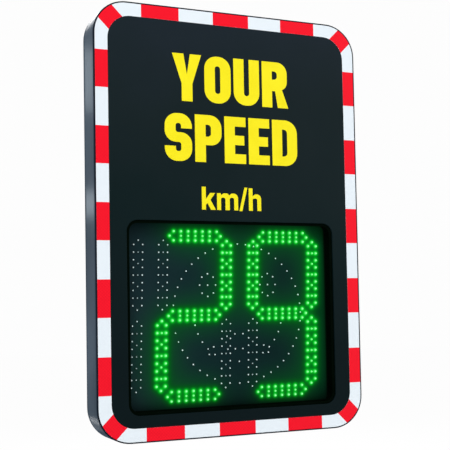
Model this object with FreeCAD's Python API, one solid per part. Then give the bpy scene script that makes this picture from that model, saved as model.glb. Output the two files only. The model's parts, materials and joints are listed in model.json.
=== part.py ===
import FreeCAD, Part
import math
import os
from FreeCAD import Vector

# Radar speed sign. X runs to the viewer's right, Z up, and the display faces -Y.
# The origin is the middle of the rear bolt pattern, in the plane of the post.

# Housing
sign_w = 500.0
sign_h = 745.0
corner_r = 58.0
case_depth = 65.0
wall = 1.8
ledge = 14.0
angle_gap = 0.4

# Face plate and its reflective border
panel_t = 3.0
panel_gap = 0.3
panel_recess = 0.6
film_t = 0.25
red_film_t = 0.2
film_inset = 0.3
film_w = 22.0
film_inner_r = 41.0
side_fields = 5
side_field = 63.5
side_field_pitch = 128.5
side_field_rise = -2.6
end_fields = 3
end_field = 68.0
end_field_pitch = 132.0
corner_field = 33.5

# Display window and the hood behind it
window_side = 29.5
window_foot = 20.7
window_h = 328.5
window_r = 20.0
recess_depth = 33.5
hood_reveal = 1.0
hood_lip = 5.0
hood_wall = 2.0
hood_flange = 12.0
sill_rise = 6.0
sill_depth = 7.0
board_t = 1.6
board_gap = 0.5
seal_t = 1.5

# Lamps on the display board
led_base = 4.2
led_top = 3.0
led_h = 3.0
led_clear = 7.0
lamp_margin_left = 25.9
lamp_margin_right = 29.3
lamp_margin_z = 24.75
lamp_rise = 1.05
hundreds_gap = 45.2
digit_gap = 51.8
digit_slant = 0.029
stroke_half = 8.1
tip_reach = 7.5
row_end = 19.5
row_lamps = 7
row_points = 5
row_point_step = 1.0
column_end = 17.3
column_lamps = 9
column_points = 5
column_point_step = 1.5
column_rise = 1.2
lit_strokes = ("abged", "abcdfg")

# Face figure between the digits, as parts of its ring
face_shift = 2.4
face_rise = 2.0
ring_inset = 15.5
ring_lamps = 48
smile_share = 0.69
smile_lamps = 15
smile_sweep = 154.0
frown_share = 0.52
frown_drop = 0.81
frown_lamps = 10
frown_sweep = 126.0
mouth_drop = 0.508
mouth_half = 0.41
mouth_lamps = 8
eye_side = 0.471
eye_rise = 0.41
eye_half_w = 0.122
eye_half_h = 0.161
eye_lamps = 8

# Rear cover and the rails that take the post clamps
cover_t = 2.0
cover_gap = 0.4
rear_seal_t = 2.0
seal_margin = 2.0
rail_h = 22.0
rail_t = 2.0
rail_bend = 3.0
rail_crown = 44.0
rail_flange = 20.0
rail_lean = 4.0
rail_len = 380.0
rail_span = 420.0
slot_span = 90.0
slot_w = 9.0
slot_len = 28.0

# Charging socket in the cover
socket_r = 8.0
socket_depth = 12.0
socket_flange = 28.0
socket_flange_t = 3.0
cap_r = 11.0
cap_h = 9.0
cap_flutes = 12

# Electronics in the upper bay
bay_gap = 14.0
rear_bay = 31.5
chassis_t = 1.5
chassis_side = 28.0
pack_w = 170.0
pack_h = 104.0
pack_d = 23.0
tray_t = 1.2
tray_lip = 12.0
tray_gap = 0.5
strap_w = 20.0
strap_t = 1.0
strap_foot = 16.0
strap_at = 0.28
card_w, card_h, card_t = 150.0, 104.0, 1.6
spacer_across, spacer_h, spacer_inset = 7.0, 6.0, 8.0
chip_w, chip_t, chip_at = 16.0, 2.4, (0.0, 0.1)
coil_w, coil_t, coil_at = 20.0, 9.0, (0.28, 0.2)
block_w, block_h, block_t, block_at = 60.0, 11.0, 12.0, (-0.1, 0.38)
header_w, header_h, header_t = 36.0, 9.0, 8.0
header_inset = 14.0
ribbon_w, ribbon_t, ribbon_rise = 31.0, 1.0, 6.0
radar_w, radar_h, radar_t = 70.0, 64.0, 7.0
radar_gap = 5.0
bracket_w, bracket_t, bracket_foot = 40.0, 1.5, 16.0

# Levels across the depth
y_rear = -rail_h
y_front = y_rear - case_depth
y_face = y_front + panel_recess
y_panel_back = y_face + panel_t
y_angle_back = y_panel_back + wall
y_cover = y_rear - cover_t
y_rear_ledge = y_cover - rear_seal_t
y_board = y_front + recess_depth
y_hood_back = y_board - seal_t
y_chassis = y_cover - rear_bay

# Places on the face
film_edge = wall + panel_gap + film_inset
film_inner = film_edge + film_w
window_w = sign_w - 2 * (film_inner + window_side)
window_mid = -sign_h / 2 + film_inner + window_foot + window_h / 2
hood_outer = hood_reveal + hood_wall
hood_edge = hood_outer + hood_flange
bay_foot = window_mid + window_h / 2 + hood_edge + bay_gap
bay_head = sign_h / 2 - corner_r - bay_gap
bay_mid = (bay_foot + bay_head) / 2
inner_half = sign_w / 2 - wall
chassis_half = inner_half - chassis_side
pack_x = -chassis_half / 2
card_x = chassis_half / 2


def outline(points, radii):
    # Closed wire through the points, with an arc at each corner whose radius is not zero
    edges, ends = [], []
    for i, corner in enumerate(points):
        to_last = (points[i - 1] - corner).normalize()
        to_next = (points[(i + 1) % len(points)] - corner).normalize()
        if radii[i] == 0:
            ends.append((corner, corner))
            continue
        half = to_last.getAngle(to_next) / 2
        reach = radii[i] / math.tan(half)
        inward = (to_last + to_next).normalize()
        start, end = corner + to_last * reach, corner + to_next * reach
        crown = corner + inward * (radii[i] / math.sin(half) - radii[i])
        edges.append(Part.Arc(start, crown, end).toShape())
        ends.append((start, end))
    for i in range(len(points)):
        start, end = ends[i - 1][1], ends[i][0]
        if start.distanceToPoint(end) > 1e-6:
            edges.append(Part.LineSegment(start, end).toShape())
    return Part.Wire(Part.__sortEdges__(edges))


def plate(width, height, radius, y, thickness, mid=(0.0, 0.0)):
    # Upright plate with rounded corners, from y back along +Y
    x, z = width / 2, height / 2
    signs = ((-1, -1), (1, -1), (1, 1), (-1, 1))
    points = [Vector(mid[0] + sx * x, y, mid[1] + sz * z) for sx, sz in signs]
    return Part.Face(outline(points, [radius] * 4)).extrude(Vector(0, thickness, 0))


def inset_plate(inset, y, thickness):
    # Plate that follows the housing's outline at a distance inside it
    radius = max(corner_r - inset, wall)
    return plate(sign_w - 2 * inset, sign_h - 2 * inset, radius, y, thickness)


def window_plate(grow, y, thickness):
    # Plate that follows the window's outline at a distance outside it
    size = (window_w + 2 * grow, window_h + 2 * grow)
    return plate(*size, window_r + grow, y, thickness, (0.0, window_mid))


def window_block(grow, y, thickness):
    # Square-cornered plate round the window
    return box(window_w + 2 * grow, window_h + 2 * grow, y, thickness, 0.0, window_mid)


def box(width, height, y, depth, x, z):
    return Part.makeBox(width, depth, height, Vector(x - width / 2, y, z - height / 2))


def prism(sides, across, y, depth, x, z):
    # Upright prism with a regular outline, measured across its flats
    reach = across / 2 / math.cos(math.pi / sides)
    turns = [2 * math.pi * i / sides for i in range(sides)]
    points = [Vector(x + reach * math.cos(a), y, z + reach * math.sin(a)) for a in turns]
    return Part.Face(outline(points, [0] * sides)).extrude(Vector(0, depth, 0))


def rod(radius, y, depth, x, z):
    return Part.makeCylinder(radius, depth, Vector(x, y, z), Vector(0, 1, 0))


def folded_sheet(path, thickness, bend, place, run):
    # Sheet folded along a path of flat points; it lies on the left of the path.
    # A bend of zero leaves a sharp fold, any other is its inner radius.
    count = len(path)
    steps = [(b[0] - a[0], b[1] - a[1]) for a, b in zip(path, path[1:])]
    normals = [(-v / math.hypot(u, v), u / math.hypot(u, v)) for u, v in steps]
    far, near_r, far_r = [], [], []
    for i, (u, v) in enumerate(path):
        first, second = normals[max(i - 1, 0)], normals[min(i, count - 2)]
        scale = thickness / (1 + first[0] * second[0] + first[1] * second[1])
        far.append((u + (first[0] + second[0]) * scale, v + (first[1] + second[1]) * scale))
        turn = first[0] * second[1] - first[1] * second[0]
        sharp = bend == 0 or i in (0, count - 1)
        near_r.append(0 if sharp else bend + thickness * (turn > 0))
        far_r.append(0 if sharp else bend + thickness * (turn < 0))
    points = [place(u, v) for u, v in path + far[::-1]]
    return Part.Face(outline(points, near_r + far_r[::-1])).extrude(run)


def side_band():
    # Wall bent round the outline, with its rear edge turned in as a flange for the cover
    body = inset_plate(0, y_front, case_depth)
    body = body.cut(inset_plate(wall, y_front, y_rear_ledge - wall - y_front))
    body = body.cut(inset_plate(wall, y_rear_ledge, y_rear - y_rear_ledge))
    return body.cut(inset_plate(wall + ledge, y_front, case_depth))


def front_angles():
    # Four angle strips on the straight runs of the wall, which carry the face plate
    reach = y_panel_back + ledge
    strips = []
    for turn, across, run in ((0, sign_w, sign_h), (90, sign_h, sign_w)):
        length = run - 2 * (corner_r + angle_gap)
        out = across / 2 - wall
        path = [(out - ledge, y_panel_back), (out, y_panel_back), (out, reach)]
        strip = folded_sheet(path, wall, 0, lambda u, v: Vector(u, v, -length / 2), Vector(0, 0, length))
        strips += [strip.rotated(Vector(), Vector(0, 1, 0), turn + flip) for flip in (0, 180)]
    return Part.Compound(strips)


def front_panel():
    return inset_plate(wall + panel_gap, y_face, panel_t).cut(window_plate(0, y_face, panel_t))


def film_ring(y, thickness):
    hole = plate(sign_w - 2 * film_inner, sign_h - 2 * film_inner, film_inner_r, y, thickness)
    return inset_plate(film_edge, y, thickness).cut(hole)


def centred(count, pitch):
    return [(i - (count - 1) / 2) * pitch for i in range(count)]


def border_film_red():
    y = y_face - film_t - red_film_t
    fields = []
    for side in (-1, 1):
        x = side * (sign_w - film_edge - film_inner) / 2
        for z in centred(side_fields, side_field_pitch):
            fields.append(box(film_w, side_field, y, red_film_t, x, z + side_field_rise))
        z = side * (sign_h - film_edge - film_inner) / 2
        for x in centred(end_fields, end_field_pitch):
            fields.append(box(end_field, film_w, y, red_film_t, x, z))
    ring = film_ring(y, red_film_t)
    for sx in (-1, 1):
        for sz in (-1, 1):
            bar = box(2 * corner_r, corner_field, y, red_film_t, corner_r, 0)
            centre = Vector(sx * (sign_w / 2 - corner_r), 0, sz * (sign_h / 2 - corner_r))
            bar.rotate(Vector(), Vector(0, 1, 0), -math.degrees(math.atan2(sz, sx)))
            fields.append(ring.common(bar.translated(centre)).Solids[0])
    return Part.Compound(fields)


def window_hood():
    # Tube with a flange at both ends; the front one also reaches in as a lip behind the panel's cut edge
    depth = y_hood_back - y_panel_back
    tube = window_plate(hood_outer, y_panel_back, depth)
    front = window_block(hood_edge, y_panel_back, hood_wall)
    back = window_block(hood_edge, y_hood_back - hood_wall, hood_wall)
    mouth = window_plate(-hood_lip, y_panel_back, hood_wall)
    bore = window_plate(hood_reveal, y_panel_back + hood_wall, depth - hood_wall)
    body = tube.fuse([front, back]).cut([mouth, bore])
    foot = window_mid - window_h / 2 - hood_reveal
    width = window_w + 2 * hood_reveal
    sill = box(width, sill_rise, y_hood_back - sill_depth, sill_depth, 0, foot + sill_rise / 2)
    return body.fuse(sill.common(bore)).removeSplitter()


def board_seal():
    ring = window_block(hood_edge, y_hood_back, seal_t)
    return ring.cut(window_block(hood_outer, y_hood_back, seal_t))


def display_board():
    return window_block(hood_edge - board_gap, y_board, board_t)


# Lamp places, as (x, z) pairs on the board
lamp_mid = window_mid + lamp_rise
digit_h = window_h - 2 * lamp_margin_z
hundreds_x = lamp_margin_left - window_w / 2
lamp_right = window_w / 2 - lamp_margin_right
digit_w = (lamp_right - hundreds_x - hundreds_gap - digit_gap) / 2
digit_x = (lamp_right - 1.5 * digit_w - digit_gap, lamp_right - digit_w / 2)
face_x = (digit_x[0] + digit_x[1]) / 2 - face_shift
face_z = lamp_mid + face_rise
ring_r = digit_h / 2 - ring_inset
row_pitch = (digit_w - 2 * row_end) / (row_lamps - 1)
column_pitch = (digit_h / 2 - 2 * column_end) / (column_lamps - 1)


def slanted(x, z):
    return (x + digit_slant * (z - lamp_mid), z)


def stroke(count, pitch, points, step):
    # Two lines of lamps, with looser points between them and a tip past both ends, as (along, across)
    pairs = [(u, v) for u in centred(count, pitch) for v in (-stroke_half, stroke_half)]
    tip = (count - 1) * pitch / 2 + tip_reach
    return pairs + [(u, 0.0) for u in (-tip, *centred(points, step * pitch), tip)]


def row_stroke(x, z):
    spots = stroke(row_lamps, row_pitch, row_points, row_point_step)
    return [slanted(x + u, z + v) for u, v in spots]


def column_stroke(x, z):
    spots = stroke(column_lamps, column_pitch, column_points, column_point_step)
    return [slanted(x + v, z + column_rise + u) for u, v in spots]


def digit_strokes(x):
    # The seven strokes of a digit, a to g clockwise from the top and g across the middle
    side, quarter = digit_w / 2, digit_h / 4
    return {
        "a": row_stroke(x, lamp_mid + 2 * quarter),
        "b": column_stroke(x + side, lamp_mid + quarter),
        "c": column_stroke(x + side, lamp_mid - quarter),
        "d": row_stroke(x, lamp_mid - 2 * quarter),
        "e": column_stroke(x - side, lamp_mid - quarter),
        "f": column_stroke(x - side, lamp_mid + quarter),
        "g": row_stroke(x, lamp_mid),
    }


def arc_spots(x, z, half_w, half_h, count, start, sweep):
    closed = sweep == 360
    angles = [math.radians(start + sweep * i / (count if closed else count - 1)) for i in range(count)]
    return [(x + half_w * math.cos(a), z + half_h * math.sin(a)) for a in angles]


def face_spots(taken):
    # A ring, two eyes and the three mouths that the figure can show
    spots = arc_spots(face_x, face_z, ring_r, ring_r, ring_lamps, 90, 360)
    smile = smile_share * ring_r
    spots += arc_spots(face_x, face_z, smile, smile, smile_lamps, -90 - smile_sweep / 2, smile_sweep)
    frown = frown_share * ring_r
    frown_mid = face_z - frown_drop * ring_r
    spots += arc_spots(face_x, frown_mid, frown, frown, frown_lamps, 90 - frown_sweep / 2, frown_sweep)
    mouth_pitch = 2 * mouth_half * ring_r / (mouth_lamps - 1)
    spots += [(face_x + u, face_z - mouth_drop * ring_r) for u in centred(mouth_lamps, mouth_pitch)]
    for side in (-1, 1):
        eye = (face_x + side * eye_side * ring_r, face_z + eye_rise * ring_r)
        spots += arc_spots(*eye, eye_half_w * ring_r, eye_half_h * ring_r, eye_lamps, 90, 360) + [eye]
    kept = []
    for spot in spots:
        if all(math.dist(spot, other) > led_clear for other in taken + kept):
            kept.append(spot)
    return kept


def lamps(spots):
    # Lamp packages that taper a little towards the viewer
    top, base = led_top / 2, led_base / 2
    lamp = Part.makeWedge(-top, y_board - led_h, -top, -base, -base, top, y_board, top, base, base)
    return Part.Compound([lamp.translated(Vector(x, 0, z)) for x, z in spots])


def lamp_groups():
    lit, dark = [], []
    for x, shown in zip(digit_x, lit_strokes):
        for name, spots in digit_strokes(x).items():
            (lit if name in shown else dark).extend(spots)
    for quarter in (digit_h / 4, -digit_h / 4):
        dark += column_stroke(hundreds_x, lamp_mid + quarter)
    return lamps(lit), lamps(dark), lamps(face_spots(lit + dark))


def rear_cover():
    body = inset_plate(wall + cover_gap, y_cover, cover_t)
    return body.cut(rod(socket_r, y_cover, cover_t, 0.0, socket_z))


def rear_seal():
    ring = inset_plate(wall + seal_margin, y_rear_ledge, rear_seal_t)
    return ring.cut(inset_plate(wall + ledge - seal_margin, y_rear_ledge, rear_seal_t))


rail_half = rail_crown / 2 + rail_lean + rail_flange


def hat_rail(z):
    # Hat section: flanges on the cover, leaning sides and a crown in the plane of the post
    shoulder = rail_half - rail_flange
    under = y_rear + rail_t
    path = [(rail_half, under), (shoulder, under), (rail_crown / 2, 0)]
    path += [(-u, v) for u, v in path[::-1]]
    start, run = Vector(-rail_len / 2, 0, z), Vector(rail_len, 0, 0)
    rail = folded_sheet(path, rail_t, rail_bend, lambda u, v: start + Vector(0, v, u), run)
    for x in (-slot_span / 2, slot_span / 2):
        rail = rail.cut(plate(slot_len, slot_w, slot_w / 2, -rail_h, rail_h, (x, z)))
    return rail


socket_z = -(rail_span / 2 + rail_half + sign_h / 2) / 2    # halfway from the lower rail to the foot


def charge_socket():
    flange = box(socket_flange, socket_flange, y_rear, socket_flange_t, 0.0, socket_z)
    barrel = rod(socket_r, y_cover - socket_depth, socket_depth + cover_t, 0.0, socket_z)
    return flange.fuse(barrel).removeSplitter()


def socket_cap():
    return prism(cap_flutes, 2 * cap_r, y_rear + socket_flange_t, cap_h, 0.0, socket_z)


def chassis_plate():
    # Shallow tray folded from sheet, with its feet on the back of the side angles
    foot = inner_half - wall - panel_gap
    y_foot = y_angle_back + chassis_t
    path = [(foot, y_foot), (chassis_half, y_foot), (chassis_half, y_chassis)]
    path += [(-u, v) for u, v in path[::-1]]
    height = Vector(0, 0, bay_head - bay_foot)
    return folded_sheet(path, chassis_t, 0, lambda u, v: Vector(u, v, bay_foot), height)


def battery_tray():
    # Tray with a turned-up lip along the top and the foot of the pack
    half = pack_h / 2 + tray_gap
    lip = y_chassis + tray_t + tray_lip
    path = [(half, lip), (half, y_chassis + tray_t), (-half, y_chassis + tray_t), (-half, lip)]
    corner = Vector(pack_x - pack_w / 2, 0, bay_mid)
    return folded_sheet(path, tray_t, 0, lambda u, v: corner + Vector(0, v, u), Vector(pack_w, 0, 0))


def battery_pack():
    return box(pack_w, pack_h, y_chassis + tray_t, pack_d, pack_x, bay_mid)


def battery_straps():
    # Straps over the pack, from foot to foot on the chassis
    half = pack_h / 2 + tray_gap + tray_t
    crown = y_chassis + tray_t + pack_d
    low, end = y_chassis, half + strap_foot
    path = [(-end, low), (-half - strap_t, low), (-half, crown)]
    path += [(-u, v) for u, v in path[::-1]]
    straps = []
    for side in (-1, 1):
        corner = Vector(pack_x + side * strap_at * pack_w - strap_w / 2, 0, bay_mid)
        run = Vector(strap_w, 0, 0)
        straps.append(folded_sheet(path, strap_t, 0, lambda u, v: corner + Vector(0, v, u), run))
    return Part.Compound(straps)


y_card = y_chassis + spacer_h
y_card_back = y_card + card_t
header_z = bay_mid - card_h / 2 + header_inset
display_header_z = window_mid + window_h / 2 - header_inset


def controller_board():
    return box(card_w, card_h, y_card, card_t, card_x, bay_mid)


def controller_spacers():
    x, z = card_w / 2 - spacer_inset, card_h / 2 - spacer_inset
    places = [(card_x + sx * x, bay_mid + sz * z) for sx in (-1, 1) for sz in (-1, 1)]
    return Part.Compound([prism(6, spacer_across, y_chassis, spacer_h, *place) for place in places])


def on_card(width, height, depth, across, up):
    # Block on the back of the controller board, placed by shares of the board's size
    return box(width, height, y_card_back, depth, card_x + across * card_w, bay_mid + up * card_h)


def ribbon_cable():
    top, low = y_card_back + header_t, y_board + board_t + header_t
    crown = max(top, low) + ribbon_rise
    half = ribbon_t / 2
    path = [(header_z + half, top), (header_z + half, crown), (display_header_z - half, crown)]
    path += [(display_header_z - half, low)]
    corner = Vector(card_x - ribbon_w / 2, 0, 0)
    run = Vector(ribbon_w, 0, 0)
    return folded_sheet(path, ribbon_t, 0, lambda u, v: corner + Vector(0, v, u), run)


def radar_module():
    y = y_panel_back + radar_gap
    return box(radar_w, radar_h, y, radar_t, 0.0, bay_mid)


def radar_bracket():
    # Bridge from the front of the chassis to the back of the sensor
    crown = y_panel_back + radar_gap + radar_t + bracket_t
    base = y_chassis - chassis_t
    half = radar_h / 2
    path = [(half + bracket_foot, base), (half, base), (half, crown)]
    path += [(-u, v) for u, v in path[::-1]]
    corner = Vector(-bracket_w / 2, 0, bay_mid)
    run = Vector(bracket_w, 0, 0)
    return folded_sheet(path, bracket_t, 0, lambda u, v: corner + Vector(0, v, u), run)


lit_lamps, dark_lamps, face_lamps = lamp_groups()
pieces = {
    "side_band": side_band(),
    "front_angles": front_angles(),
    "front_panel": front_panel(),
    "border_film_white": film_ring(y_face - film_t, film_t),
    "border_film_red": border_film_red(),
    "window_hood": window_hood(),
    "board_seal": board_seal(),
    "display_board": display_board(),
    "digit_leds_lit": lit_lamps,
    "digit_leds_dark": dark_lamps,
    "face_leds": face_lamps,
    "rear_cover": rear_cover(),
    "rear_seal": rear_seal(),
    "upper_rail": hat_rail(rail_span / 2),
    "lower_rail": hat_rail(-rail_span / 2),
    "charge_socket": charge_socket(),
    "socket_cap": socket_cap(),
    "chassis_plate": chassis_plate(),
    "battery_tray": battery_tray(),
    "battery_pack": battery_pack(),
    "battery_straps": battery_straps(),
    "controller_board": controller_board(),
    "controller_spacers": controller_spacers(),
    "controller_chip": on_card(chip_w, chip_w, chip_t, *chip_at),
    "controller_coil": on_card(coil_w, coil_w, coil_t, *coil_at),
    "terminal_block": on_card(block_w, block_h, block_t, *block_at),
    "controller_header": box(header_w, header_h, y_card_back, header_t, card_x, header_z),
    "display_header": box(header_w, header_h, y_board + board_t, header_t, card_x, display_header_z),
    "ribbon_cable": ribbon_cable(),
    "radar_module": radar_module(),
    "radar_bracket": radar_bracket(),
}

os.makedirs("parts", exist_ok=True)
for name, shape in pieces.items():
    shape.exportStep(os.path.join("parts", name + ".step"))
    print(name, shape.ShapeType, len(shape.Solids), shape.isValid(), round(shape.Volume))
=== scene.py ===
import json
import math

import bpy
import numpy as np
from mathutils import Matrix, Vector
from mathutils.geometry import tessellate_polygon

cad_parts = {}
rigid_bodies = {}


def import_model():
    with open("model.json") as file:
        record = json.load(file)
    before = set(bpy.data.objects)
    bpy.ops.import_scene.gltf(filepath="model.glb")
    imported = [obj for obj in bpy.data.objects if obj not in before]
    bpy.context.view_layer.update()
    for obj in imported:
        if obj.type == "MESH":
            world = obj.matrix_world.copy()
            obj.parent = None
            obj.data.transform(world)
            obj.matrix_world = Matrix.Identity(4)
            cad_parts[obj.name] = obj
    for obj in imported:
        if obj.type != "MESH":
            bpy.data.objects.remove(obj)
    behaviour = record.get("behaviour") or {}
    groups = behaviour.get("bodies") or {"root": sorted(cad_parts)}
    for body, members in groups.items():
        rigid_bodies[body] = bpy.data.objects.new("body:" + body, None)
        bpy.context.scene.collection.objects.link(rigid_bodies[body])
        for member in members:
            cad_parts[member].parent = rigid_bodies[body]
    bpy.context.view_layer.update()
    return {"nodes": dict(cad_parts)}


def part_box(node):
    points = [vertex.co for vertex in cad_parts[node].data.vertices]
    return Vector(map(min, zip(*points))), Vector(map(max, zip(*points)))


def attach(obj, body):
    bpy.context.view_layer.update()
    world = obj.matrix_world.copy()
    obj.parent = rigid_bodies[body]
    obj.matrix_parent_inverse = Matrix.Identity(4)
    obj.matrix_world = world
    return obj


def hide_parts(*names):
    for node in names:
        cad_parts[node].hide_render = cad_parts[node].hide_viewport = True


for startObject in list(bpy.data.objects):      # the default cube, lamp and camera
    bpy.data.objects.remove(startObject)

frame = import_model()
scene = bpy.context.scene
mm = 0.001
samePoint = 1e-9                                # points closer than this are one
print("frame loaded:", len(frame["nodes"]), "solids")


# Shapes

def roundedContour(points, radii, steps, support=0.0):
    # Closed flat line: every corner is an arc about the point r / sin(half angle) along its bisector,
    # swept from one tangent point to the other; support adds a point that far out on both straight runs
    corner = np.asarray(points, float)
    radius = np.broadcast_to(np.asarray(radii, float), len(corner))
    back = np.roll(corner, 1, 0) - corner
    ahead = np.roll(corner, -1, 0) - corner
    back /= np.linalg.norm(back, axis=1)[:, None]
    ahead /= np.linalg.norm(ahead, axis=1)[:, None]
    half = np.arccos(np.clip((back * ahead).sum(1), -1, 1)) / 2
    bisector = back + ahead
    bisector /= np.linalg.norm(bisector, axis=1)[:, None]
    centre = corner + bisector * (radius / np.sin(half))[:, None]
    start = corner + back * (radius / np.tan(half))[:, None]
    end = corner + ahead * (radius / np.tan(half))[:, None]
    spokeA, spokeB = start - centre, end - centre
    sweep = np.arctan2(spokeA[:, 0] * spokeB[:, 1] - spokeA[:, 1] * spokeB[:, 0], (spokeA * spokeB).sum(1))
    angle = np.arctan2(spokeA[:, 1], spokeA[:, 0])[:, None] + sweep[:, None] * np.linspace(0, 1, steps)
    line = centre[:, None] + radius[:, None, None] * np.stack([np.cos(angle), np.sin(angle)], -1)
    if support:
        line = np.concatenate([start[:, None] + back[:, None] * support, line,
                               end[:, None] + ahead[:, None] * support], 1)
    line = line.reshape(-1, 2)
    return line[np.linalg.norm(line - np.roll(line, 1, 0), axis=1) > samePoint]


def upright(flat, depth):
    # Flat (x, z) points set at a depth y
    return np.stack([flat[:, 0], np.full(len(flat), depth), flat[:, 1]], -1)


def boxRing(low, high, inset, radius, depth, steps=14, support=1.5 * mm):
    # Outline of a box in X and Z with round corners, drawn in by inset, anticlockwise seen from the front
    left, right = low.x + inset, high.x - inset
    foot, head = low.z + inset, high.z - inset
    corners = [(left, foot), (right, foot), (right, head), (left, head)]
    return upright(roundedContour(corners, radius, steps, support), depth)


def gridFaces(rows, columns, closeRows=False, closeColumns=True):
    # Quads between neighbours of a grid whose point (i, j) has the number i * columns + j
    i = np.arange(rows if closeRows else rows - 1)[:, None]
    j = np.arange(columns if closeColumns else columns - 1)[None, :]
    down, right = (i + 1) % rows, (j + 1) % columns
    quads = [i * columns + j, down * columns + j, down * columns + right, i * columns + right]
    return np.stack(np.broadcast_arrays(*quads), -1).reshape(-1, 4)


def makeMesh(name, points, faceSets):
    # Mesh from an array of points and arrays of faces, one array for each number of corners
    mesh = bpy.data.meshes.new(name)
    corners = np.concatenate([faces.ravel() for faces in faceSets]).astype(np.int32)
    totals = np.concatenate([np.full(len(faces), faces.shape[1]) for faces in faceSets])
    mesh.vertices.add(len(points))
    mesh.vertices.foreach_set("co", np.asarray(points, np.float32).ravel())
    mesh.loops.add(len(corners))
    mesh.loops.foreach_set("vertex_index", corners)
    mesh.polygons.add(len(totals))
    mesh.polygons.foreach_set("loop_start", (np.cumsum(totals) - totals).astype(np.int32))
    mesh.update(calc_edges=True)
    mesh.validate()
    return mesh


def ringShell(name, rings):
    # Closed shell through rings of points that lie one after another round a section
    grid = np.stack(rings)
    return makeMesh(name, grid.reshape(-1, 3), [gridFaces(*grid.shape[:2], closeRows=True)])


def turnedHeads(name, spots, depth, radii, heights):
    # Turned shape repeated at (x, z) spots: point = spot + r(station, angle) outwards, depth + h(station);
    # the first station is a flat base, the last closes to a point, and a negative height stands out
    # towards the viewer
    stations, turns = radii.shape
    angle = np.linspace(0, 2 * np.pi, turns, endpoint=False)
    shape = np.stack([radii * np.cos(angle), np.broadcast_to(heights[:, None], radii.shape),
                      radii * np.sin(angle)], -1).reshape(-1, 3)
    shape = np.concatenate([shape, [[0, heights[-1], 0]]])
    faces = gridFaces(stations, turns)
    edge = (stations - 1) * turns + np.arange(turns)
    lid = np.stack([edge, np.full(turns, len(shape) - 1), np.roll(edge, -1)], -1)
    base = np.arange(turns)[None]
    if heights[-1] < heights[0]:                # keep the faces outwards for shapes on the front
        faces, lid, base = faces[:, ::-1], lid[:, ::-1], base[:, ::-1]
    points = (upright(spots, depth)[:, None] + shape[None]).reshape(-1, 3)
    shift = (np.arange(len(spots)) * len(shape))[:, None, None]
    faceSets = [(part + shift).reshape(-1, part.shape[1]) for part in (faces, lid, base)]
    return makeMesh(name, points, faceSets)


def addPiece(name, mesh, finish, slot, *nodes, sharpAngle=32):
    # A finished piece: smooth faces with sharp edges kept, riding on the sign
    mesh.shade_smooth()
    mesh.set_sharp_from_angle(angle=math.radians(sharpAngle))
    mesh.materials.append(finish)
    piece = bpy.data.objects.new(name, mesh)
    scene.collection.objects.link(piece)
    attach(piece, "root")
    if nodes:
        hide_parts(*nodes)


def setAttribute(mesh, name, values):
    # One number for each point, read by a finish
    mesh.attributes.new(name, "FLOAT", "POINT").data.foreach_set("value", values.astype(np.float32))


# Finishes

def seen(red, green, blue):
    # A colour as the eye reads it, 0 to 255, as linear light
    share = np.array([red, green, blue]) / 255
    linear = np.where(share <= 0.04045, share / 12.92, ((share + 0.055) / 1.055) ** 2.4)
    return (*linear, 1.0)


def grey(level):
    return seen(level, level, level)


reliefDepth = {"grain": 0.1 * mm, "fine": 0.05 * mm}


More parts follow.
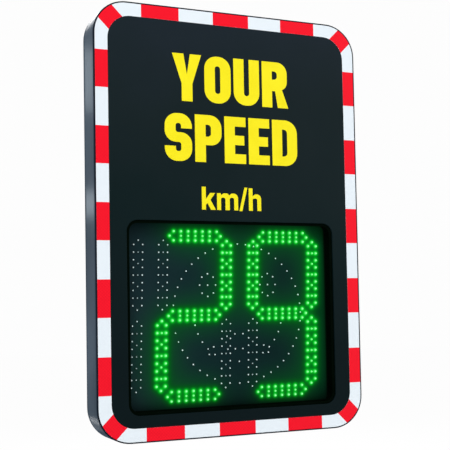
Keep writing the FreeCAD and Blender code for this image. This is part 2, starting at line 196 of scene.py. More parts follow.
class Finish:
    # A material and short words for the nodes that its pattern needs

    def __init__(self, name, sockets):
        self.material = bpy.data.materials.new(name)
        self.material.use_nodes = True
        self.tree = self.material.node_tree
        self.shader = self.tree.nodes["Principled BSDF"]
        for socket, value in sockets.items():
            self.shader.inputs[socket].default_value = value

    def node(self, kind, **settings):
        made = self.tree.nodes.new(kind)
        for setting, value in settings.items():
            setattr(made, setting, value)
        return made

    def feed(self, node, socket, source):
        self.tree.links.new(source, node.inputs[socket])

    def coords(self, stretch=(1, 1, 1), turn=(0, 0, 0)):
        mapping = self.node("ShaderNodeMapping")
        mapping.inputs["Scale"].default_value = stretch
        mapping.inputs["Rotation"].default_value = turn
        self.feed(mapping, "Vector", self.node("ShaderNodeTexCoord").outputs["Object"])
        return mapping.outputs["Vector"]

    def noise(self, scale, detail=2.0, stretch=(1, 1, 1)):
        noise = self.node("ShaderNodeTexNoise")
        noise.inputs["Scale"].default_value = scale
        noise.inputs["Detail"].default_value = detail
        self.feed(noise, "Vector", self.coords(stretch))
        return noise.outputs["Fac"]

    def attribute(self, name):
        return self.node("ShaderNodeAttribute", attribute_name=name).outputs["Fac"]

    def axis(self, letter):
        split = self.node("ShaderNodeSeparateXYZ")
        self.feed(split, "Vector", self.coords())
        return split.outputs[letter]

    def maths(self, operation, *values):
        made = self.node("ShaderNodeMath", operation=operation)
        for place, value in enumerate(values):
            if isinstance(value, float):
                made.inputs[place].default_value = value
            else:
                self.feed(made, place, value)
        return made.outputs[0]

    def blend(self, share, first, second):
        made = self.node("ShaderNodeMix", data_type="RGBA")
        takes, gives = (0, 6, 7), 2             # sockets of a mix for its share and two colours
        for place, source in zip(takes, (share, first, second)):
            if isinstance(source, tuple):
                made.inputs[place].default_value = source
            else:
                self.feed(made, place, source)
        return made.outputs[gives]

    def ramp(self, source, *stops):
        ramp = self.node("ShaderNodeValToRGB")
        while len(ramp.color_ramp.elements) < len(stops):
            ramp.color_ramp.elements.new(0.5)
        for element, (place, colour) in zip(ramp.color_ramp.elements, stops):
            element.position = place
            element.color = colour
        self.feed(ramp, "Fac", source)
        return ramp.outputs["Color"]

    def spread(self, source, low, high, fromLow=0.35, fromHigh=0.65):
        spread = self.node("ShaderNodeMapRange")
        sockets = {"From Min": fromLow, "From Max": fromHigh, "To Min": low, "To Max": high}
        for socket, value in sockets.items():
            spread.inputs[socket].default_value = value
        self.feed(spread, "Value", source)
        return spread.outputs["Result"]

    def colour(self, source):
        self.feed(self.shader, "Base Color", source)

    def rough(self, source):
        self.feed(self.shader, "Roughness", source)

    def relief(self, source, strength, depth):
        bump = self.node("ShaderNodeBump")
        bump.inputs["Strength"].default_value = strength
        bump.inputs["Distance"].default_value = depth
        self.feed(bump, "Height", source)
        self.feed(self.shader, "Normal", bump.outputs["Normal"])


def mottled(name, dark, light, sockets, blotch=20.0, grain=900.0, relief=0.15, rough=(0.3, 0.4)):
    # Even finish with a slow drift of tone, a fine grain and a matching drift of gloss
    finish = Finish(name, sockets)
    finish.colour(finish.ramp(finish.noise(blotch), (0.35, dark), (0.65, light)))
    fine = finish.noise(grain)
    finish.rough(finish.spread(fine, *rough))
    finish.relief(fine, relief, reliefDepth["grain"])
    return finish.material


bandLook = {"depth": (-87 * mm, -22 * mm), "dullFoot": (-352 * mm, -345 * mm), "shine": 0.0017}


def bandPaint():
    # Satin slate paint on the bent wall: faint upright streaks and a slow drift, painted shade that darkens
    # both edges, and dull along both edges and under the foot
    finish = Finish("band paint", {})
    streak = finish.noise(14.0, 3.0, (60, 60, 1))
    tone = finish.maths("MULTIPLY_ADD", streak, 0.35, finish.noise(7.0, 1.0))
    slate = finish.ramp(tone, (0.5, seen(62, 75, 88)), (0.85, seen(80, 94, 108)))
    across = finish.spread(finish.axis("Y"), 0.0, 1.0, *bandLook["depth"])
    # painted shade: dark navy at the wall's front edge and partly dark at its rear edge
    rim = finish.ramp(across, (0.0, grey(250)), (0.02, grey(240)), (0.12, grey(60)), (0.3, grey(0)),
                      (0.85, grey(0)), (1.0, grey(150)))
    finish.colour(finish.blend(rim, slate, seen(14, 22, 34)))
    gloss = finish.spread(finish.axis("Z"), 0.0, bandLook["shine"], *bandLook["dullFoot"])
    inward = finish.ramp(across, (0.02, grey(0)), (0.12, grey(230)), (0.3, grey(255)), (0.8, grey(255)),
                         (0.92, grey(0)))
    finish.feed(finish.shader, "Specular IOR Level", finish.maths("MULTIPLY", gloss, inward))
    finish.rough(finish.spread(streak, 0.14, 0.2))
    finish.relief(finish.noise(1400.0, 1.0), 0.03, reliefDepth["fine"])
    return finish.material


facePaintedLight = {"height": (-350 * mm, 350 * mm)}


def faceBlack():
    # Satin black face sheet with painted light by height: lighter blue-grey at the head where light falls
    # from above, a painted green cast of the lamps round the window, painted shade darkest at the foot
    finish = Finish("face black", {"Specular IOR Level": 0.05})
    # painted light: the face grows lighter towards the head and darker towards the foot
    height = finish.spread(finish.axis("Z"), 0.0, 0.7, *facePaintedLight["height"])
    tone = finish.maths("MULTIPLY_ADD", finish.noise(6.0), 0.3, height)
    finish.colour(finish.ramp(tone, (0.25, seen(4, 18, 21)), (0.48, seen(7, 24, 26)),
                              (0.68, seen(17, 29, 32)), (0.85, seen(23, 33, 40))))
    fine = finish.noise(1600.0, 1.0)
    finish.rough(finish.spread(fine, 0.42, 0.52))
    finish.relief(fine, 0.05, reliefDepth["fine"])
    return finish.material


filmLook = {"cellsPerMetre": 260.0, "turn": math.radians(45)}


def reflectiveFilm(name, cell, line):
    # Reflective sheet: a fine lattice of sealed cells under a smooth skin
    finish = Finish(name, {"Specular IOR Level": 0.07, "Roughness": 0.38})
    lattice = finish.node("ShaderNodeTexVoronoi", feature="DISTANCE_TO_EDGE", voronoi_dimensions="3D")
    lattice.inputs["Scale"].default_value = filmLook["cellsPerMetre"]
    lattice.inputs["Randomness"].default_value = 0.0
    finish.feed(lattice, "Vector", finish.coords(turn=(0, filmLook["turn"], 0)))
    finish.colour(finish.ramp(lattice.outputs["Distance"], (0.02, line), (0.07, cell)))
    return finish.material


def letterYellow():
    # Flat yellow film with a slight drift of tone
    finish = Finish("letter yellow", {"Specular IOR Level": 0.1})
    finish.colour(finish.ramp(finish.noise(30.0), (0.3, seen(239, 224, 22)), (0.7, seen(244, 230, 30))))
    fine = finish.noise(1800.0, 1.0)
    finish.rough(finish.spread(fine, 0.35, 0.45))
    finish.relief(fine, 0.04, reliefDepth["fine"])
    return finish.material


boardLook = {"paintedLitToShaded": (-200 * mm, 100 * mm), "greening": (0.01, 0.18)}


def boardBlack():
    # Dark lacquered board with a painted green glow where the lamps beside it burn, painted light that
    # makes its left side paler, and painted shade beside the hood
    finish = Finish("board lacquer", {"Specular IOR Level": 0.02})
    glow, shade = finish.attribute("glow"), finish.attribute("shade")
    # painted light: the lacquer is paler to the left and darker to the right
    paintedSideLight = finish.spread(finish.axis("X"), 0.6, 0.0, *boardLook["paintedLitToShaded"])
    tone = finish.maths("MULTIPLY_ADD", finish.noise(9.0), 0.4, paintedSideLight)
    lacquer = finish.ramp(tone, (0.1, seen(8, 30, 31)), (0.5, seen(14, 36, 39)), (0.9, seen(26, 44, 49)))
    # under the painted glow the lacquer goes dark green
    greened = finish.blend(finish.spread(glow, 0.0, 1.0, *boardLook["greening"]), lacquer, seen(0, 10, 4))
    finish.colour(finish.blend(shade, seen(1, 3, 3), greened))
    fine = finish.noise(1500.0, 1.0)
    finish.rough(finish.spread(fine, 0.4, 0.55))
    finish.relief(fine, 0.06, reliefDepth["fine"])
    # painted glow: the board itself gives off green light round the lit lamps
    light = finish.ramp(glow, (0.0, grey(0)), (0.08, seen(0, 52, 12)), (0.25, seen(0, 100, 24)),
                        (0.45, seen(0, 148, 24)), (0.7, seen(8, 205, 44)), (1.0, seen(95, 250, 120)))
    finish.feed(finish.shader, "Emission Color", light)
    finish.feed(finish.shader, "Emission Strength", shade)
    return finish.material


lampLook = {"lensGrain": 700.0, "lensRough": (0.15, 0.25), "glowTinging": (0.02, 0.12)}


def lampLit():
    # Burning lamp: pale in the middle of its lens, full green towards the rim
    finish = Finish("lamp lit", {"Base Color": seen(20, 60, 25), "Emission Strength": 1.0})
    glow = finish.ramp(finish.attribute("core"), (0.0, seen(38, 215, 66)), (0.15, seen(114, 250, 133)),
                       (0.5, seen(152, 255, 170)), (1.0, seen(172, 255, 188)))
    finish.feed(finish.shader, "Emission Color", glow)
    finish.rough(finish.spread(finish.noise(lampLook["lensGrain"]), *lampLook["lensRough"]))
    return finish.material


def lampDark():
    # Unlit lamp: water-clear lens over a small pale cup whose bright middle is partly a painted highlight,
    # with a painted green tint and painted green glow beside lamps that burn
    finish = Finish("lamp dark", {"Specular IOR Level": 0.3, "Emission Strength": 1.0})
    core, glow = finish.attribute("core"), finish.attribute("glow")
    # pale cup and painted highlight: bright in the lens's middle, dark towards its rim
    cup = finish.ramp(core, (0.08, seen(24, 40, 42)), (0.3, seen(121, 146, 148)),
                      (0.55, seen(212, 238, 239)), (0.85, seen(250, 255, 255)))
    # painted light: the same cup tinted green beside lamps that burn
    glowTinged = finish.ramp(core, (0.08, seen(10, 54, 28)), (0.3, seen(96, 150, 122)),
                         (0.55, seen(186, 246, 216)), (0.85, seen(222, 255, 244)))
    finish.colour(finish.blend(finish.spread(glow, 0.0, 1.0, *lampLook["glowTinging"]), cup, glowTinged))
    # painted glow: an unlit lamp gives off green light beside lamps that burn
    light = finish.ramp(glow, (0.0, grey(0)), (0.1, seen(0, 50, 12)), (0.45, seen(0, 150, 35)),
                        (1.0, seen(30, 215, 65)))
    finish.feed(finish.shader, "Emission Color", light)
    finish.rough(finish.spread(finish.noise(lampLook["lensGrain"]), *lampLook["lensRough"]))
    return finish.material


def brushedMetal(name, dark, light, along):
    # Drawn metal, with streaks along the given stretch of its coordinates
    finish = Finish(name, {"Metallic": 1.0, "Anisotropic": 0.4})
    streak = finish.noise(30.0, 4.0, along)
    finish.colour(finish.ramp(streak, (0.3, dark), (0.7, light)))
    finish.rough(finish.spread(streak, 0.32, 0.46))
    finish.relief(streak, 0.12, reliefDepth["fine"])
    return finish.material


finishes = {
    "band_paint": bandPaint(),
    "face_black": faceBlack(),
    "film_white": reflectiveFilm("film white", seen(237, 245, 250), seen(224, 233, 240)),
    "film_red": reflectiveFilm("film red", seen(240, 18, 40), seen(222, 12, 32)),
    "board_black": boardBlack(),
    "lamp_lit": lampLit(),
    "lamp_dark": lampDark(),
    "bare_aluminium": brushedMetal("bare aluminium", seen(168, 171, 174), seen(196, 198, 200), (1, 40, 40)),
    "cover_paint": mottled("cover paint", seen(115, 122, 128), seen(122, 129, 135),
                           {"Specular IOR Level": 0.4}, 12.0, 1100.0, 0.35, (0.4, 0.55)),
    # hood black: near zero reflectance with a faint green, painted shade of the recess and painted lamp
    # light
    "hood_black": mottled("hood black", seen(1, 7, 3), seen(3, 10, 5), {"Specular IOR Level": 0.006},
                          25.0, 1300.0, 0.2, (0.6, 0.75)),
    "seal_rubber": mottled("seal rubber", seen(18, 18, 19), seen(26, 26, 27), {},
                           40.0, 900.0, 0.2, (0.7, 0.85)),
    "socket_black": mottled("socket black", seen(22, 23, 25), seen(30, 31, 33), {},
                            60.0, 1500.0, 0.3, (0.45, 0.6)),
    "pack_wrap": mottled("pack wrap", seen(26, 58, 120), seen(34, 68, 134), {},
                         25.0, 500.0, 0.1, (0.25, 0.35)),
    "strap_web": mottled("strap web", seen(26, 26, 28), seen(44, 44, 46), {},
                         700.0, 1500.0, 0.5, (0.75, 0.9)),
    "card_green": mottled("card green", seen(14, 70, 40), seen(20, 86, 48), {}, 60.0, 900.0, 0.1),
    "spacer_brass": brushedMetal("spacer brass", seen(186, 150, 84), seen(206, 172, 104), (40, 1, 40)),
    "component_black": mottled("component black", seen(24, 24, 26), seen(34, 34, 36), {}, 80.0, 1400.0, 0.2),
    "ribbon_grey": mottled("ribbon grey", seen(140, 142, 146), seen(164, 166, 170), {}, 30.0, 900.0, 0.1),
    "radar_white": mottled("radar white", seen(206, 208, 206), seen(222, 224, 222), {}, 30.0, 900.0, 0.1),
}
fastenerSteel = brushedMetal("fastener steel", seen(150, 152, 156), seen(184, 186, 190), (1, 1, 1))
print("finishes ready:", len(finishes) + 1)

for node in frame["nodes"].values():            # every solid takes the finish of its slot
    for place in node.material_slots:
        place.material = finishes[place.material.name]


# Housing wall

band = {"wall": 1.8 * mm, "corner": 58 * mm, "outerEdge": 0.8 * mm, "innerEdge": 0.35 * mm,
        "flange": 14 * mm, "flangeDepth": 4 * mm, "edgeSteps": 5}
bandLow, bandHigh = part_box("side_band")


def bandRing(inset, depth):
    return boxRing(bandLow, bandHigh, inset, band["corner"] - inset, depth)


def buildBand():
    # Section of a bent strip with eased edges and a turned-in rear flange, carried round the outline
    wall, easeOut, easeIn = band["wall"], band["outerEdge"], band["innerEdge"]
    front, rear = bandLow.y, bandHigh.y
    ledge = rear - band["flangeDepth"]
    reach = wall + band["flange"]
    section = roundedContour(
        [(0, front), (0, rear), (wall, rear), (wall, ledge), (reach, ledge), (reach, ledge - wall),
         (wall, ledge - wall), (wall, front)],
        [easeOut, easeOut / 2, easeIn, 0, easeIn, easeIn, 0, easeIn], band["edgeSteps"], easeOut / 4)
    mesh = ringShell("band", [bandRing(inset, depth) for inset, depth in section])
    addPiece("housingWall", mesh, finishes["band_paint"], "band_paint", "side_band")


buildBand()
print("housing wall built")


# Face sheet with its window

face = {"corner": 55.9 * mm, "edge": 0.4 * mm, "windowCorner": 20 * mm, "cutEdge": 0.5 * mm,
        "hoodReach": 15 * mm, "edgeSteps": 5}
faceLow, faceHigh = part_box("front_panel")
hoodLow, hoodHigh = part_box("window_hood")


def windowRing(grow, depth):
    return boxRing(hoodLow, hoodHigh, face["hoodReach"] - grow, face["windowCorner"] + grow, depth)


def faceRing(inset, depth):
    return boxRing(faceLow, faceHigh, inset, face["corner"] - inset, depth)


def buildFace():
    # Rings from the back edge round the outer edge, over the face and through the window to the back
    front, rear = faceLow.y, faceHigh.y
    turn = np.linspace(0, np.pi / 2, face["edgeSteps"])
    edge, cut = face["edge"], face["cutEdge"]
    outer = [faceRing(edge * (1 - math.cos(a)), front + edge * (1 - math.sin(a))) for a in turn]
    inner = [windowRing(cut * (1 - math.sin(a)), front + cut * (1 - math.cos(a))) for a in turn]
    flat = [faceRing(2 * edge, front), windowRing(2 * cut, front)]
    rings = outer + flat + inner + [windowRing(0, front + 2 * cut), windowRing(0, rear), faceRing(0, rear)]
    mesh = ringShell("face", rings[::-1])
    addPiece("faceSheet", mesh, finishes["face_black"], "face_black", "front_panel")


buildFace()
print("face sheet built")


# Words and unit, cut from film: glyph outlines in millimetres, each corner with its radius

words = {"height": 83.0, "stem": 20.0, "bar": 17.0, "gap": 5.5, "film": 0.15 * mm, "cornerSteps": 9,
         "lines": (("YOUR", 0.0, 209.0), ("SPEED", 0.5, 104.0)),
         "unit": "km/h", "unitHeight": 40.0, "unitLow": 29.5, "unitStem": 7.5, "unitArch": 7.5,
         "unitGap": 2.4, "unitMiddle": -3.5, "unitFoot": 21.0}


def capitals():
    high, stem, bar = words["height"], words["stem"], words["bar"]
    middle, wide = high / 2, 50.0
    low, top = middle - bar / 2, middle + bar / 2
    waist = high - 2 * bar - 14.0               # foot of the upper bowl
    return {
        "Y": [([(0, high), (21, high), (27, 47), (33, high), (54, high), (37, 31), (37, 0), (17, 0),
                (17, 31)], 0)],
        "O": [([(0, 0), (wide, 0), (wide, high), (0, high)], 23),
              ([(stem, bar), (wide - stem, bar), (wide - stem, high - bar), (stem, high - bar)], 4.9)],
        "U": [([(0, high), (0, 0), (wide, 0), (wide, high), (wide - stem, high), (wide - stem, bar),
                (stem, bar), (stem, high)], [0, 23, 23, 0, 0, 4.9, 4.9, 0])],
        "R": [([(0, 0), (0, high), (wide, high), (wide, waist), (wide - 10, waist - 2), (wide + 2, 0),
                (wide - 19, 0), (stem + 6, waist - 5), (stem, waist - 5), (stem, 0)],
               [0, 0, 20, 16, 0, 0, 0, 0, 0, 0]),
              ([(stem, high - bar), (stem + 10, high - bar), (stem + 10, high - bar - 15),
                (stem, high - bar - 15)], [0, 6, 6, 0])],
        "S": [([(wide, 57), (wide, high), (0, high), (0, low), (wide - stem, low), (wide - stem, bar),
                (stem, bar), (stem, 26), (0, 26), (0, 0), (wide, 0), (wide, top), (stem, top),
                (stem, high - bar), (wide - stem, high - bar), (wide - stem, 57)],
               [0, 22, 22, 20, 4.5, 4.5, 4.5, 0, 0, 22, 22, 20, 4.5, 4.5, 4.5, 0])],
        "P": [([(0, 0), (0, high), (wide, high), (wide, waist - 5), (stem, waist - 5), (stem, 0)],
               [0, 0, 22, 20, 0, 0]),
              ([(stem, high - bar), (stem + 10, high - bar), (stem + 10, waist + 10), (stem, waist + 10)],
               [0, 6, 6, 0])],
        "E": [([(0, 0), (0, high), (41, high), (41, high - bar), (stem, high - bar), (stem, top), (38, top),
                (38, low), (stem, low), (stem, bar), (41, bar), (41, 0)], 0)],
        "D": [([(0, 0), (0, high), (wide, high), (wide, 0)], [0, 0, 24, 24]),
              ([(stem, bar), (stem, high - bar), (wide - stem, high - bar), (wide - stem, bar)],
               [0, 0, 7, 7])],
    }


def unitSigns():
    tall, low, stem = words["unitHeight"], words["unitLow"], words["unitStem"]
    crown = low - words["unitArch"]             # underside of an arch
    crownLeft = crown - 0.1                     # a hair lower, so that no triangle between them is flat
    return {
        "k": [([(0, 0), (0, tall), (stem, tall), (stem, 18.5), (15.5, low), (25, low), (16, 17.5), (26, 0),
                (16.8, 0), (10.4, 11.5), (stem, 9), (stem, 0)], 0)],
        "m": [([(0, 0), (0, low), (7.4, low), (stem, 26), (12.5, low), (20.5, low), (23, 25.8), (27.5, low),
                (40, low), (40, 0), (40 - stem, 0), (40 - stem, crown), (24.1, crown), (24.1, 0),
                (15.9, 0), (15.9, crownLeft), (stem, crownLeft), (stem, 0)],
               [0, 0, 0, 0, 4, 4, 0, 4, 8, 0, 0, 3.4, 3.4, 0, 0, 3.4, 3.4, 0])],
        "/": [([(0, -1), (5.6, -1), (16, tall + 1), (10.4, tall + 1)], 0)],
        "h": [([(0, 0), (0, tall), (stem, tall), (stem, 26), (12.5, low), (24, low), (24, 0), (24 - stem, 0),
                (24 - stem, crown), (stem, crown), (stem, 0)],
               [0, 0, 0, 0, 4, 8, 0, 0, 3.4, 3.4, 0])],
    }


def setLine(text, glyphs, gap, middle, foot):
    # Glyph outlines side by side, centred on middle, standing on foot
    widths = [max(x for x, z in glyphs[sign][0][0]) for sign in text]
    start = middle - (sum(widths) + gap * (len(text) - 1)) / 2
    placed = []
    for sign, width in zip(text, widths):
        shift = np.array([start, foot])
        placed.append([(roundedContour(points, radii, words["cornerSteps"]) + shift) * mm
                       for points, radii in glyphs[sign]])
        start += width + gap
    return placed


def buildWords():
    # Each glyph is a thin prism: its outlines joined front to back, and both ends filled
    letters, sheet = capitals(), faceLow.y
    placed = []
    for text, middle, foot in words["lines"]:
        placed += setLine(text, letters, words["gap"], middle, foot)
    placed += setLine(words["unit"], unitSigns(), words["unitGap"], words["unitMiddle"], words["unitFoot"])
    points, quads, fills, count = [], [], [], 0
    for outlines in placed:
        flat = np.concatenate(outlines)
        fill = np.array(tessellate_polygon([[Vector((x, z, 0)) for x, z in line] for line in outlines]))
        edgeA, edgeB = flat[fill[:, 1]] - flat[fill[:, 0]], flat[fill[:, 2]] - flat[fill[:, 0]]
        turned = edgeA[:, 0] * edgeB[:, 1] - edgeA[:, 1] * edgeB[:, 0] < 0
        fill[turned] = fill[turned][:, ::-1]
        fills += [fill + count, fill[:, ::-1] + count + len(flat)]
        begin = 0
        for line in outlines:
            here = begin + np.arange(len(line))
            ahead = begin + (np.arange(len(line)) + 1) % len(line)
            area = (line[:, 0] * np.roll(line[:, 1], -1) - np.roll(line[:, 0], -1) * line[:, 1]).sum()
            isHole = line is not outlines[0]
            side = np.stack([here, here + len(flat), ahead + len(flat), ahead], -1)
            quads.append((side if (area > 0) != isHole else side[:, ::-1]) + count)
            begin += len(line)
        points += [upright(flat, sheet - words["film"]), upright(flat, sheet)]
        count += 2 * len(flat)
    mesh = makeMesh("words", np.concatenate(points), [np.concatenate(quads), np.concatenate(fills)])
    addPiece("faceWords", mesh, letterYellow(), "face_black")


buildWords()
print("words set on the face")


# Lamps and the board that carries them

lamp = {"turns": 10, "base": 2.1 * mm, "dome": 1.95 * mm, "collar": 0.5 * mm, "height": 3.0 * mm,
        "domeSteps": 5, "domePower": 0.8, "tipDepth": 0.1 * mm, "tipReach": 2.2, "reach": 11.2 * mm,
        "opposite": -0.5, "middleShare": 0.5, "darkMiddle": 0.62, "seed": 7, "unevenness": 0.22,
        "decimals": 5}
glowField = {"cell": 1.6 * mm,
             "bells": ((3.7 * mm, 0.77), (8.0 * mm, 0.18), (34 * mm, 0.011))}    # reach and share of each
hoodShade = {"left": (4 * mm, 0.5), "right": (2.5 * mm, 0.9), "top": (8 * mm, 0.45), "foot": (14 * mm, 1.0)}
boardLow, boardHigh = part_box("display_board")


def lampSpots(node):
    # Lamp centres: the mean of the tip corners that lie within one lamp of each other
    mesh = frame["nodes"][node].data
    points = np.empty(len(mesh.vertices) * 3)
    mesh.vertices.foreach_get("co", points)
    points = points.reshape(-1, 3)
    isTip = points[:, 1] < points[:, 1].min() + lamp["tipDepth"]
    tips = np.unique(points[isTip][:, [0, 2]].round(lamp["decimals"]), axis=0)
    near = np.linalg.norm(tips[:, None] - tips[None], axis=2) < lamp["tipReach"] * lamp["base"]
    return np.unique((near @ tips / near.sum(1)[:, None]).round(lamp["decimals"]), axis=0)


def lampShares(spots):
    # Strength of each lamp: less for one between two rows, where the ways to two of its neighbours have
    # a cosine under the share called opposite
    gap = spots[None] - spots[:, None]
    reach = np.linalg.norm(gap, axis=2)
    close = (reach > 0) & (reach < lamp["reach"])
    way = gap / np.where(reach > 0, reach, 1)[..., None]
    facing = np.einsum("ijk,ilk->ijl", way, way)
    both = close[:, :, None] & close[:, None, :]
    between = np.where(both, facing, 1).min((1, 2)) < lamp["opposite"]
    return np.where(between, lamp["middleShare"], 1.0)


def glowAt(x, z):
    # glow(x, z) = sum over lit lamps of falling bells, share * exp(-(distance / reach)^2)
    glow = np.zeros_like(x)
    for (lampX, lampZ), strength in zip(litSpots, litShares):
        far = (x - lampX) ** 2 + (z - lampZ) ** 2
        for reach, share in glowField["bells"]:
            glow += strength * share * np.exp(-far / reach ** 2)
    return np.clip(glow, 0, 1)


def shadeAt(x, z):
    # shade(x, z) = product over the hood's four walls of 1 - share * exp(-distance / reach)
    inset = face["hoodReach"]
    gaps = {"left": x - hoodLow.x - inset, "right": hoodHigh.x - inset - x,
            "top": hoodHigh.z - inset - z, "foot": z - hoodLow.z - inset}
    shade = np.ones_like(x)
    for wall, (reach, share) in hoodShade.items():
        shade *= 1 - share * np.exp(-np.maximum(gaps[wall], 0) / reach)
    return shade


def buildLamps(name, spots, shares, finish, slot, node):
    # Collar, then a dome r = dome * cos(a)^power, h = collar + (height - collar) * sin(a), flat at the tip
    base, collar, height = lamp["base"], lamp["collar"], lamp["height"]
    rise = np.linspace(0, np.pi / 2, lamp["domeSteps"])[:-1]
    profile = np.concatenate([[base, base], lamp["dome"] * np.cos(rise) ** lamp["domePower"]])
    lift = np.concatenate([[0, collar], collar + (height - collar) * np.sin(rise[:-1]), [height]])
    radii = np.repeat(profile[:, None], lamp["turns"], 1)
    mesh = turnedHeads(name, spots, boardLow.y, radii, -lift)
    core = np.append(np.repeat(1 - profile / base, lamp["turns"]), 1.0)
    setAttribute(mesh, "core", (shares[:, None] * core[None]).ravel())
    setAttribute(mesh, "glow", np.repeat(glowAt(*spots.T), len(core)))
    addPiece(name, mesh, finish, slot, node, sharpAngle=50)


def buildBoard():
    # Board front as a grid of points that carry the glow, with plain sides and back
    x = np.linspace(boardLow.x, boardHigh.x, int((boardHigh.x - boardLow.x) / glowField["cell"]))
    z = np.linspace(boardLow.z, boardHigh.z, int((boardHigh.z - boardLow.z) / glowField["cell"]))
    gridX, gridZ = np.meshgrid(x, z, indexing="ij")
    front = np.stack([gridX, np.full_like(gridX, boardLow.y), gridZ], -1)
    rows, columns = gridX.shape
    faces = gridFaces(rows, columns, closeColumns=False)
    number = np.arange(rows * columns).reshape(rows, columns)
    rim = np.concatenate([number[:-1, 0], number[-1, :-1], number[:0:-1, -1], number[0, :0:-1]])
    behind = front.reshape(-1, 3)[rim] + [0, boardHigh.y - boardLow.y, 0]
    rimBack = rows * columns + np.arange(len(rim))
    sides = np.stack([rim, np.roll(rim, -1), np.roll(rimBack, -1), rimBack], -1)
    mesh = makeMesh("board", np.concatenate([front.reshape(-1, 3), behind]),
                    [faces, sides[:, ::-1], rimBack[::-1][None, :]])
    for name, field in (("glow", glowAt), ("shade", shadeAt)):
        setAttribute(mesh, name, np.append(field(gridX, gridZ).ravel(), np.zeros(len(rim))))
    addPiece("lampBoard", mesh, finishes["board_black"], "board_black", "display_board")


litSpots = lampSpots("digit_leds_lit")
litShares = lampShares(litSpots)
darkSpots, faceSpots = lampSpots("digit_leds_dark"), lampSpots("face_leds")
draws = np.random.default_rng(lamp["seed"])
uneven = draws.uniform(1 - lamp["unevenness"], 1, len(darkSpots) + len(faceSpots))
darkShares = uneven[:len(darkSpots)] * np.where(lampShares(darkSpots) < 1, lamp["darkMiddle"], 1.0)
buildLamps("lampsLit", litSpots, litShares, finishes["lamp_lit"], "lamp_lit", "digit_leds_lit")
buildLamps("lampsDark", darkSpots, darkShares, finishes["lamp_dark"], "lamp_dark", "digit_leds_dark")
buildLamps("lampsFace", faceSpots, uneven[len(darkSpots):], finishes["lamp_dark"], "lamp_dark", "face_leds")
buildBoard()
print("lamps built:", len(litSpots), "lit,", (litShares < 1).sum(), "of them between rows")


# Rear fasteners and the cap of the charging socket

screw = {"radius": 4.0 * mm, "height": 2.4 * mm, "key": 1.45 * mm, "keyDepth": 1.3 * mm, "inset": 9 * mm,
         "sidePitch": 150 * mm, "endPitch": 180 * mm, "turns": 24}
socketScrew = {"radius": 2.0 * mm, "height": 1.3 * mm, "key": 0.8 * mm, "keyDepth": 0.7 * mm,
               "inset": 3.6 * mm, "turns": 18}
keyedShape = {"skirt": 0.25, "power": 2.2, "crown": 1.7, "keyMouth": 1.12, "keyFoot": 0.96,
              "mouthDepth": 0.1 * mm, "steps": 6}
rivet = {"radius": 4.0 * mm, "height": 1.5 * mm, "skirt": 0.2, "arc": 0.8, "dimple": 1.2 * mm,
         "dimpleFoot": 0.9, "dimpleHeight": 0.6, "inset": 22 * mm, "rowInset": 9 * mm,
         "railSheet": 2 * mm, "count": 4, "steps": 7, "turns": 20}
cap = {"radius": 10.75 * mm, "flute": 0.35 * mm, "flutes": 12, "edge": 1.2 * mm, "edgeSteps": 5,
       "dish": (3.2 * mm, 3.8 * mm, 8 * mm), "dishDepth": 0.6 * mm, "turns": 96}
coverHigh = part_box("rear_cover")[1]


def keyedHeads(name, spots, depth, kind):
    # Button head r = radius * (1 - (1 - crown * key / radius) * s^power), s from 0 to 1, on a low skirt;
    # the flats of its six-sided key follow r = key / cos(angle from the middle of the nearest flat)
    shape, high, key = keyedShape, kind["height"], kind["key"]
    angle = np.linspace(0, 2 * np.pi, kind["turns"], endpoint=False)
    flats = key / np.cos((angle + np.pi / 6) % (np.pi / 3) - np.pi / 6)
    rise = np.linspace(0, 1, shape["steps"])
    dome = kind["radius"] * (1 - (1 - shape["crown"] * key / kind["radius"]) * rise ** shape["power"])
    dome = np.concatenate([dome[:1], dome])
    lift = high * (shape["skirt"] + (1 - shape["skirt"]) * np.sin(rise * np.pi / 2))
    radii = np.concatenate([np.repeat(dome[:, None], kind["turns"], 1),
                            [flats * shape["keyMouth"], flats, flats * shape["keyFoot"]]])
    heights = np.concatenate([[0], lift, [high, high - shape["mouthDepth"], high - kind["keyDepth"]]])
    addPiece(name, turnedHeads(name, spots, depth, radii, heights), fastenerSteel, "bare_aluminium")


def domedHeads(name, spots, depth, kind):
    # Blind rivet: low dome r = radius * cos(arc * a), h rising as sin(a) from a skirt, with a small dimple
    # where the pin broke off
    high, dimple = kind["height"], kind["dimple"]
    rise = np.linspace(0, 1, kind["steps"])
    dome = kind["radius"] * np.cos(rise * np.pi / 2 * kind["arc"])
    lift = high * (kind["skirt"] + (1 - kind["skirt"]) * np.sin(rise * np.pi / 2))
    radii = np.concatenate([[kind["radius"]], dome, [dimple, dimple * kind["dimpleFoot"]]])
    heights = np.concatenate([[0], lift, [high, kind["dimpleHeight"] * high]])
    mesh = turnedHeads(name, spots, depth, np.repeat(radii[:, None], kind["turns"], 1), heights)
    addPiece(name, mesh, finishes["bare_aluminium"], "bare_aluminium")


def centred(length, pitch):
    # Even places along a length about its middle, at least a pitch apart
    count = max(int(length / pitch), 1)
    return (np.arange(count + 1) - count / 2) * length / count


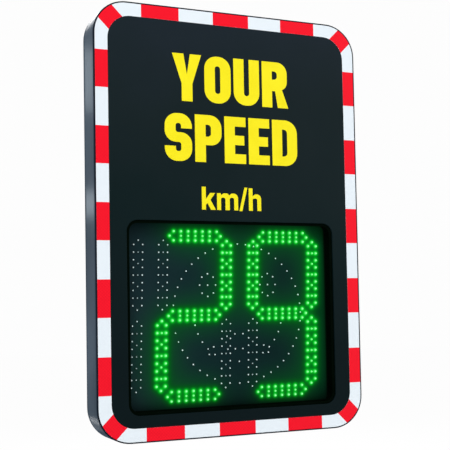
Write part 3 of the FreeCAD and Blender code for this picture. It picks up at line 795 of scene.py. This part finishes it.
def buildRear():
    # Screws along the cover's edge and at the socket's corners, rivets along both feet of each rail
    inset = screw["inset"]
    halfX, halfZ = coverHigh.x - inset, coverHigh.z - inset
    upZ = centred(2 * (halfZ - band["corner"]), screw["sidePitch"])
    overX = centred(2 * (halfX - band["corner"]), screw["endPitch"])
    sides = [np.stack([np.full_like(upZ, x), upZ], -1) for x in (-halfX, halfX)]
    ends = [np.stack([overX, np.full_like(overX, z)], -1) for z in (-halfZ, halfZ)]
    keyedHeads("coverScrews", np.concatenate(sides + ends), coverHigh.y, screw)
    spots = []
    for node in ("upper_rail", "lower_rail"):
        low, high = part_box(node)
        x = np.linspace(low.x + rivet["inset"], high.x - rivet["inset"], rivet["count"])
        rows = (low.z + rivet["rowInset"], high.z - rivet["rowInset"])
        spots += [np.stack([x, np.full_like(x, z)], -1) for z in rows]
    domedHeads("railRivets", np.concatenate(spots), coverHigh.y + rivet["railSheet"], rivet)
    low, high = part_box("charge_socket")
    x, z = (np.array([first + socketScrew["inset"], last - socketScrew["inset"]])
            for first, last in ((low.x, high.x), (low.z, high.z)))
    keyedHeads("socketScrews", np.stack(np.meshgrid(x, z), -1).reshape(-1, 2), high.y, socketScrew)


def buildCap():
    # Fluted cap: r = radius + flute * cos(flutes * angle), drawn in over the top edge to a shallow dish
    low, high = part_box("socket_cap")
    angle = np.linspace(0, 2 * np.pi, cap["turns"], endpoint=False)
    flute = cap["radius"] + cap["flute"] * np.cos(cap["flutes"] * angle)
    ease = np.linspace(0, np.pi / 2, cap["edgeSteps"])
    draw = np.concatenate([[0, 0], cap["edge"] * (1 - np.cos(ease)), cap["dish"]])
    tall = high.y - low.y
    dishFloor = tall - cap["dishDepth"]
    heights = np.concatenate([[0, tall / 2], tall - cap["edge"] * (1 - np.sin(ease)),
                              [tall, dishFloor, dishFloor]])
    spot = np.array([[(low.x + high.x) / 2, (low.z + high.z) / 2]])
    mesh = turnedHeads("cap", spot, low.y, flute[None] - draw[:, None], heights)
    addPiece("socketCap", mesh, finishes["socket_black"], "socket_black", "socket_cap")


buildRear()
buildCap()
print("rear fasteners built")


# Floor, light and camera

stage = {"floorDrop": 0.45, "floorReach": 14.0, "floorTurns": 64, "floorTone": 0.9,
         "whiteShares": (0.15, 0.96), "whiteReach": (0.6, 2.8),    # under the sign and far from it
         "worldLight": 0.56, "skyWhite": 0.983}
lights = {
    "key": {"place": (-1.3, -2.6, 2.0), "size": (1.8, 1.8), "power": 49.0},
    "fill": {"place": (2.2, -2.2, 0.6), "size": (2.0, 2.0), "power": 19.0},
    "back": {"place": (1.4, 2.6, 1.6), "size": (2.0, 2.0), "power": 45.0},
    "cornerSheen": {"place": (0.1, 2.9, 1.6), "size": (1.1, 1.1), "power": 18.0},
    "upperSheen": {"place": (-0.894, 2.351, 0.83), "size": (0.5, 0.26), "power": 4.2,
                   "aim": (-0.25, -0.05, 0.245), "tint": (0.8, 0.91, 1.0)},
    "lowerSheen": {"place": (-0.894, 2.351, 0.30), "size": (0.5, 0.1), "power": 2.8,
                   "aim": (-0.25, -0.05, 0.03), "tint": (0.8, 0.91, 1.0)},
    "footSheen": {"place": (-0.45, 1.39, -0.71), "size": (0.07, 0.18), "power": 0.6,
                  "aim": (-0.24, -0.05, -0.33)},
}
camera = {"place": (-0.6792, -1.6587, -0.1513), "ahead": (0.41348, 0.90908, 0.05108), "roll": -1.1,
          "sensor": 36.0, "lens": 78.16, "shift": (-0.0631, 0.0735), "clip": (0.05, 60.0)}


def seenRays(tree):
    # 1 for what the eye meets, straight or by way of gloss or clear glass, and 0 for other light
    path = tree.nodes.new("ShaderNodeLightPath")
    known = path.outputs["Is Camera Ray"]
    for kind in ("Is Glossy Ray", "Is Transmission Ray"):
        either = tree.nodes.new("ShaderNodeMath")
        either.operation = "MAXIMUM"
        tree.links.new(known, either.inputs[0])
        tree.links.new(path.outputs[kind], either.inputs[1])
        known = either.outputs[0]
    return known


def buildFloor():
    # Pale round floor well under the sign, with the shadow kept there and white to the eye further out
    turn = np.linspace(0, 2 * np.pi, stage["floorTurns"], endpoint=False)
    ring = np.stack([np.cos(turn), np.sin(turn)], -1) * stage["floorReach"]
    height = np.full(len(ring), bandLow.z - stage["floorDrop"])
    mesh = makeMesh("floor", np.column_stack([ring, height]), [np.arange(len(ring))[None]])
    floor = bpy.data.objects.new("floor", mesh)
    scene.collection.objects.link(floor)
    finish = Finish("floor", {"Base Color": (*[stage["floorTone"]] * 3, 1), "Roughness": 0.9,
                              "Specular IOR Level": 0.0})
    away = finish.node("ShaderNodeVectorMath", operation="LENGTH")
    finish.feed(away, 0, finish.coords((1, 1, 0)))
    share = finish.spread(away.outputs["Value"], *stage["whiteShares"], *stage["whiteReach"])
    white = finish.node("ShaderNodeEmission")
    mix = finish.node("ShaderNodeMixShader")
    finish.feed(mix, 0, finish.maths("MULTIPLY", seenRays(finish.tree), share))
    finish.feed(mix, 1, finish.shader.outputs[0])
    finish.feed(mix, 2, white.outputs[0])
    finish.feed(finish.tree.nodes["Material Output"], "Surface", mix.outputs[0])
    mesh.materials.append(finish.material)


def buildLight():
    # Soft lamps, and a world that lights evenly and is white where it is seen
    for name, lightKind in lights.items():
        data = bpy.data.lights.new(name, "AREA")
        data.shape, data.energy = "RECTANGLE", lightKind["power"]
        data.size, data.size_y = lightKind["size"]
        data.color = lightKind.get("tint", (1, 1, 1))
        lightBox = bpy.data.objects.new(name, data)
        lightBox.location = lightKind["place"]
        aim = Vector(lightKind.get("aim", (0, 0, 0))) - Vector(lightKind["place"])
        lightBox.rotation_euler = aim.to_track_quat("-Z", "Y").to_euler()
        scene.collection.objects.link(lightBox)
    world = bpy.data.worlds.new("studio")
    scene.world = world
    world.use_nodes = True
    tree = world.node_tree
    ground = tree.nodes["Background"]
    ground.inputs["Color"].default_value = (1, 1, 1, 1)
    level = tree.nodes.new("ShaderNodeMapRange")
    level.inputs["To Min"].default_value = stage["worldLight"]
    level.inputs["To Max"].default_value = stage["skyWhite"]
    tree.links.new(seenRays(tree), level.inputs["Value"])
    tree.links.new(level.outputs["Result"], ground.inputs["Strength"])


def buildCamera():
    # Placed, aimed, rolled and shifted to see the sign as the photograph does
    data = bpy.data.cameras.new("camera")
    data.sensor_width, data.lens = camera["sensor"], camera["lens"]
    data.shift_x, data.shift_y = camera["shift"]
    data.clip_start, data.clip_end = camera["clip"]
    view = bpy.data.objects.new("camera", data)
    turn = Vector(camera["ahead"]).to_track_quat("-Z", "Y").to_matrix()
    roll = Matrix.Rotation(math.radians(camera["roll"]), 3, "Z")
    view.matrix_world = Matrix.Translation(camera["place"]) @ (turn @ roll).to_4x4()
    scene.collection.objects.link(view)
    scene.camera = view


buildFloor()
buildLight()
buildCamera()
scene.view_settings.view_transform = "Standard"
print("floor, light and camera set")
